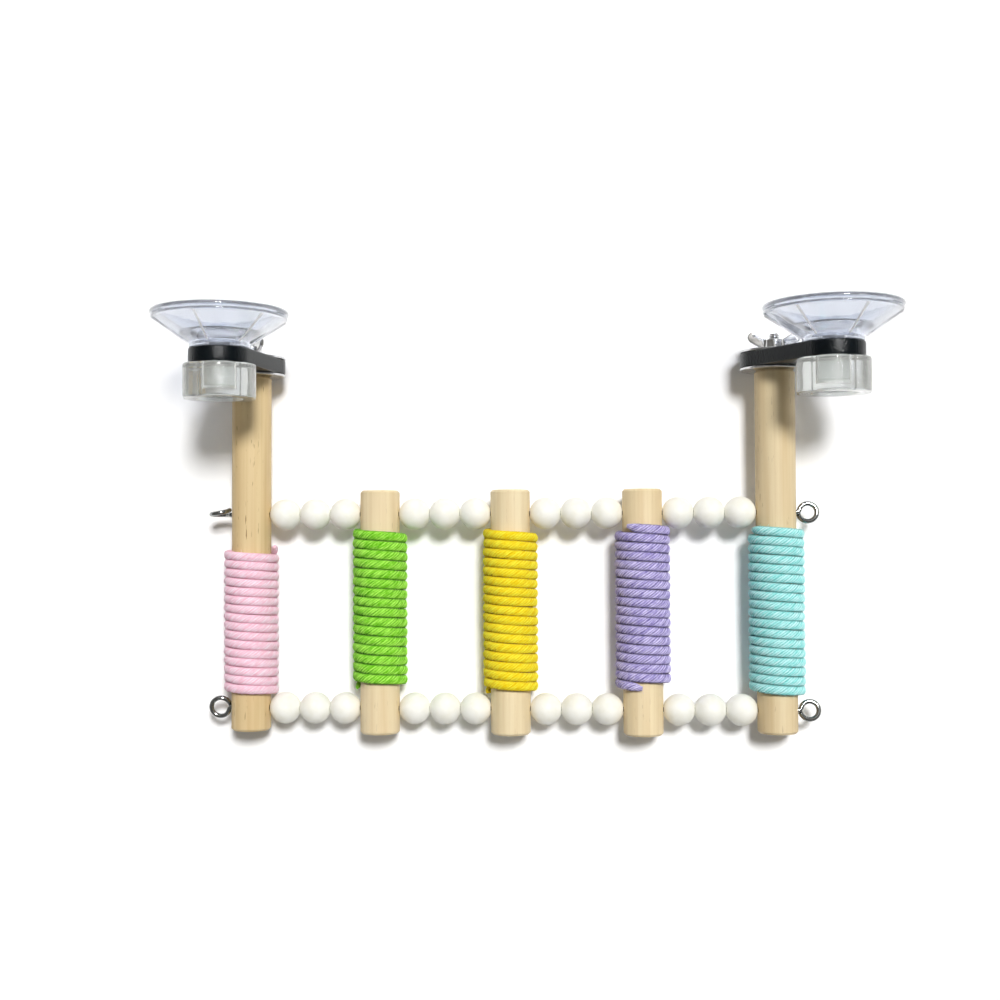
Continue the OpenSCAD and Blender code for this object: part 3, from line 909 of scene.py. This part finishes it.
arm_edge = eased(
    [(arm_flat, 0, 0), (0, 0, arm_round), (0, arm_thickness, arm_round), (arm_flat, arm_thickness, 0)],
    count=6,
)
for side in ("left", "right"):
    node = "arm_" + side
    foot = foot_of(node, "hanger_bolt_" + side)
    stud_axis = middle_of("cup_stud_" + side)
    reach_x = stud_axis.x - foot.x
    reach_z = stud_axis.z - foot.z
    length = math.hypot(reach_x, reach_z)
    rings = [[Vector((x, y, height)) for x, y in arm_outline(inset, length)] for inset, height in arm_edge]
    shape = stacked(rings)
    for rim in (rings[0], rings[-1]):
        corners = [min(shape.verts, key=lambda vert: (vert.co - point).length) for point in rim]
        shape.faces.new(corners)
    bmesh.ops.recalc_face_normals(shape, faces=shape.faces)
    along_arm = Vector((reach_x, 0, reach_z)).normalized()
    through_arm = Vector((0, 1, 0))
    across_arm = through_arm.cross(along_arm)
    arm_turn = Matrix((along_arm, across_arm, through_arm)).transposed().to_4x4()
    place = Matrix.Translation(foot) @ arm_turn
    holes = []
    for radius, distance in ((arm_hole_bolt, 0), (arm_hole_stud, length)):
        hole = turned([(0, drill_start), (radius, drill_start), (radius, drill_end), (0, drill_end)], 48)
        hole.transform(place @ Matrix.Translation((distance, 0, 0)))
        holes.append(hole)
    arm = placed("black_arm_" + side, shape, place, black_plastic)
    combined(arm, holes, "DIFFERENCE")
    fix(arm, node)

# Wing nuts
# A pressed hub with two rounded wings that lean out, turned by hand to lock the arm.
# It is zinc-plated like the bolt, and smoother, so that it mirrors the table and the sky.
hub_radius = 0.004
hub_height = 0.0042
nut_bore = 0.0021
wing_width = 0.004
wing_thickness = 0.0017
wing_tip = Vector((0.008, 0.005))
wing_root = Vector((0.00315, 0.0021))
wing_arc_steps = 16
wing_round = 0.00045
nut_sharp_angle = 35
nut_zinc = bright_steel("nut_zinc", 0.09, (0.72, 0.72, 0.72, 1))


def half_circle(middle, radius, start, count):
    """Points on a half circle about a middle, from one angle on."""
    angles = [start + math.pi * step / count for step in range(count + 1)]
    return [middle + radius * Vector((math.cos(angle), math.sin(angle))) for angle in angles]


def wing_shape(turn):
    """One wing: a tongue with a round tip, thick as the hub's wall."""
    lean = math.atan2(wing_tip.y - wing_root.y, wing_tip.x - wing_root.x)
    outline = half_circle(wing_tip, wing_width / 2, lean - math.pi / 2, wing_arc_steps)
    across = wing_width / 2 * Vector((-math.sin(lean), math.cos(lean)))
    outline += [wing_root + across, wing_root - across]
    shape = bmesh.new()
    front = [shape.verts.new((p.x, -wing_thickness / 2, p.y)) for p in outline]
    back = [shape.verts.new((p.x, wing_thickness / 2, p.y)) for p in outline]
    shape.faces.new(front)
    shape.faces.new(back[::-1])
    for i in range(len(outline)):
        j = (i + 1) % len(outline)
        shape.faces.new((front[j], front[i], back[i], back[j]))
    bmesh.ops.recalc_face_normals(shape, faces=shape.faces)
    rims = [edge for edge in shape.edges if abs(edge.verts[0].co.y - edge.verts[1].co.y) < 1e-6]
    bmesh.ops.bevel(shape, geom=rims, offset=wing_round, segments=4, profile=0.5, affect="EDGES")
    for face in shape.faces:
        face.smooth = True
    shape.transform(Matrix.Rotation(turn, 4, "Z"))
    return shape


hub_outline = eased(
    [
        (nut_bore, 0, 0.0003),
        (hub_radius, 0, 0.0004),
        (hub_radius, hub_height, 0.0006),
        (nut_bore, hub_height, 0.0003),
    ],
    closed=True,
)
# The turn of each nut about its bolt, in degrees
NUT_TURNS = {"left": -53, "right": 0}
for side, nut_turn in NUT_TURNS.items():
    node = "wing_nut_" + side
    place = standing(node, "hanger_bolt_" + side, nut_turn)
    wings = [wing_shape(turn) for turn in (0, math.pi)]
    for wing in wings:
        wing.transform(place)
    nut = placed("winged_nut_" + side, turned(hub_outline, 64, closed=True), place, nut_zinc)
    combined(nut, wings, "UNION")
    nut.data.set_sharp_from_angle(angle=math.radians(nut_sharp_angle))
    fix(nut, node)

# Suction cups and studs
# A soft clear cup with a faint lilac tint: a round lip, a cone with six ribs on its back and a short
# neck, into which the head of a clear stud is moulded. The stud passes through the arm.
cup_height = 0.0137
neck_radius = 0.011
neck_height = 0.0016
lip_reach = 0.025
lip_thickness = 0.0021
ridge_reach = 0.0246
ridge_thickness = 0.0012
lip_flat = 0.0016
floor_height = 0.007
floor_radius = 0.013
stud_radius = 0.004
stud_head_radius = 0.0075
stud_head_wall = 0.0013
stud_head_thickness = 0.002
stud_fit = 0.00005
rib_count = 6
rib_thickness = 0.0009
rib_height = 0.0005
cup_sides = 480
cone_rows = 24
lip_steps = 16
# How near to the cone a point has to be to belong to it
near_cone = 1e-5
cup_shadow = (0.7, 0.71, 0.74, 1)


def clear_plastic(name, tint, clearness, roughness, ior, skin, frost, shadow):
    """Cloudy clear plastic with a grainy skin. Lamps shine through it and leave that tone of shadow."""
    looks = {"Base Color": tint, "Transmission Weight": clearness, "Roughness": roughness, "IOR": ior}
    material, tree, shader = new_finish(name, looks | {"Coat Weight": 1, "Coat Roughness": skin})
    place = piece_place(tree)
    bump(tree, shader, noise(tree, place, 420, 2, 0.5), 0.16, 0.0002)
    bump(tree, shader, noise(tree, place, 2600, 2, 0.6), frost, 0.0002, "Coat Normal")
    let_through = result(tree, "ShaderNodeBsdfTransparent", shadow)
    lamp_ray = add_node(tree, "ShaderNodeLightPath").outputs["Is Shadow Ray"]
    seen = result(tree, "ShaderNodeMixShader", lamp_ray, shader.outputs[0], let_through)
    tree.links.new(seen, tree.nodes["Material Output"].inputs["Surface"])
    return material


cup_clear = clear_plastic(
    "cup_clear_vinyl", paint(220, 225, 236), clearness=0.9, roughness=0.05, ior=1.33, skin=0.05,
    frost=0.02, shadow=cup_shadow,
)
rib_clear = clear_plastic(
    "cup_rib_vinyl", paint(250, 250, 250), clearness=0.5, roughness=0.3, ior=1.33, skin=0.2,
    frost=0.1, shadow=cup_shadow,
)
stud_clear = clear_plastic(
    "stud_clear", paint(244, 246, 245), clearness=0.97, roughness=0.08, ior=1.4, skin=0.1,
    frost=0.02, shadow=(0.6, 0.6, 0.6, 1),
)
cone_start = Vector((neck_radius, neck_height))
cone_end = Vector((ridge_reach - ridge_thickness / 2, cup_height - lip_thickness - ridge_thickness))


def cup_outline():
    """Half of the cup's section, from the stud's room round the lip to the middle of the hollow."""
    room = stud_head_wall - stud_fit
    room_top = room + stud_head_thickness + 2 * stud_fit
    inside = [
        (0, room_top, 0),
        (stud_head_radius + stud_fit, room_top, 0.0002),
        (stud_head_radius + stud_fit, room, 0.0002),
        (stud_radius + stud_fit, room, 0.0001),
        (stud_radius + stud_fit, 0, 0.0001),
        (neck_radius, 0, 0.0004),
        (neck_radius, neck_height, 0.0006),
        (cone_end.x, cone_end.y, 0),
    ]
    lip = []
    height = cone_end.y
    for reach, thickness in ((ridge_reach, ridge_thickness), (lip_reach, lip_thickness)):
        middle = Vector((reach - thickness / 2, height + thickness / 2))
        lip += half_circle(middle, thickness / 2, -math.pi / 2, lip_steps)[1:]
        height += thickness
    hollow = eased(
        [
            (lip[-1].x, cup_height, 0),
            (lip[-1].x - lip_flat, cup_height, 0.0003),
            (floor_radius, floor_height, 0.0012),
            (0, floor_height, 0),
        ]
    )
    back = eased(inside)
    cone = [back[-2].lerp(back[-1], row / cone_rows) for row in range(1, cone_rows + 1)]
    return back[:-1] + cone + lip + hollow[1:]


def ribbed_cup(turn):
    """A cup about the Z axis with thin ribs standing on the back of its cone."""
    rings = []
    slope = (cone_end - cone_start).normalized()
    outwards = Vector((slope.y, -slope.x))
    for point in cup_outline():
        if point.x < on_axis:
            rings.append([Vector((0, 0, point.y))])
            continue
        in_line = abs((point - cone_start).dot(outwards)) < near_cone
        on_cone = in_line and cone_start.y - near_cone < point.y < cone_end.y + near_cone
        ring = []
        for angle in round_about(cup_sides):
            lift = 0
            if on_cone:
                apart = (angle - turn) % (2 * math.pi / rib_count)
                apart = min(apart, 2 * math.pi / rib_count - apart)
                share = 1 - point.x * apart / (rib_thickness / 2)
                lift = rib_height * min(1, max(0, 2 * share))
            moved = point + outwards * lift
            ring.append(at_angle(moved.x, angle, moved.y))
        rings.append(ring)
    shape = stacked(rings)
    for face in shape.faces:
        middle = face.calc_center_median()
        proud = (Vector((middle.xy.length, middle.z)) - cone_start).dot(outwards)
        if proud > rib_height / 4 and cone_start.y < middle.z < cone_end.y:
            face.material_index = 1
    return shape


# The turn of each cup about its stud, in degrees
CUP_TURNS = {"left": 24, "right": -10}
rib_start = math.radians(180 / rib_count - 90)
for side, cup_turn in CUP_TURNS.items():
    node = "cup_" + side
    stud_node = "cup_stud_" + side
    place = standing(node, stud_node, cup_turn)
    cup = placed("suction_cup_" + side, ribbed_cup(rib_start), place, cup_clear, sharp=50)
    cup.data.materials.append(rib_clear)
    fix(cup, node)
    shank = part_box(node)[0].y + stud_head_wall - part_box(stud_node)[0].y
    stud_outline = eased(
        [
            (0, 0, 0),
            (stud_radius, 0, 0.0006),
            (stud_radius, shank, 0.0001),
            (stud_head_radius, shank, 0.0002),
            (stud_head_radius, shank + stud_head_thickness, 0.0002),
            (0, shank + stud_head_thickness, 0),
        ]
    )
    place = standing(stud_node, stud_node)
    stud = placed("clear_stud_" + side, turned(stud_outline, 64), place, stud_clear)
    fix(stud, stud_node)

# Knobs
# A clear moulded knob with six round lobes, screwed on the stud to clamp the cup to the arm.
# Its face is dished, its edges are bevelled and its grip is slightly frosted.
knob_radius = 0.014
knob_height = 0.0125
knob_lobes = 6
lobe_radius = 0.0076
knob_bevel = 0.0011
knob_groove = math.radians(7)
knob_hole_radius = 0.0041
knob_hole_depth = 0.009
knob_dish_radius = 0.0085
knob_dish_depth = 0.0012
knob_sides = 192
# How far the first and last points of a flat face lie from its edge or from the axis
knob_flat = 0.001
knob_clear = clear_plastic(
    "knob_clear", paint(231, 234, 232), clearness=0.81, roughness=0.03, ior=1.4, skin=0.14,
    frost=0.9, shadow=(0.2, 0.2, 0.2, 1),
)


def lobed_radius(angle, inset):
    """How far the knob's lobed side is from its axis in one direction."""
    apart = abs((angle + math.pi / knob_lobes) % (2 * math.pi / knob_lobes) - math.pi / knob_lobes)
    offset = knob_radius - lobe_radius
    on_lobe = min(apart, math.pi / knob_lobes - knob_groove)
    across = math.sqrt((lobe_radius - inset) ** 2 - (offset * math.sin(on_lobe)) ** 2)
    radius = offset * math.cos(on_lobe) + across
    slope = offset * math.sin(on_lobe) * (1 + offset * math.cos(on_lobe) / across)
    into_groove = apart - on_lobe
    return radius - slope * into_groove * (1 - into_groove / knob_groove / 2)


def lobed_knob():
    """A knob about the Z axis, its dished face at the bottom and its hole open at the top."""
    angles = round_about(knob_sides)
    dish = eased(
        [
            (knob_flat, knob_dish_depth, 0),
            (knob_dish_radius, knob_dish_depth, 0.0004),
            (knob_dish_radius, 0, 0.0003),
            (knob_dish_radius + knob_flat, 0, 0),
        ]
    )
    inner = 2 * knob_flat
    grip = eased(
        [(inner, 0, 0), (0, 0, knob_bevel), (0, knob_height, knob_bevel), (inner, knob_height, 0)]
    )
    hole = eased(
        [
            (knob_hole_radius + knob_flat, knob_height, 0),
            (knob_hole_radius, knob_height, 0.0003),
            (knob_hole_radius, knob_height - knob_hole_depth, 0.0003),
            (knob_flat, knob_height - knob_hole_depth, 0),
        ]
    )
    rings = [[Vector((0, 0, knob_dish_depth))]]
    for radius, height in dish:
        rings.append([at_angle(radius, angle, height) for angle in angles])
    for inset, height in grip:
        rings.append([at_angle(lobed_radius(angle, inset), angle, height) for angle in angles])
    for radius, height in hole:
        rings.append([at_angle(radius, angle, height) for angle in angles])
    rings.append([Vector((0, 0, knob_height - knob_hole_depth))])
    return stacked(rings)


# The turn of each knob about its stud, in degrees
KNOB_TURNS = {"left": 15, "right": -10}
first_lobe = Matrix.Rotation(math.radians(-90), 4, "Z")
for side, knob_turn in KNOB_TURNS.items():
    node = "knob_" + side
    place = standing(node, "cup_stud_" + side, knob_turn) @ first_lobe
    knob = placed("lobed_knob_" + side, lobed_knob(), place, knob_clear)
    fix(knob, node)
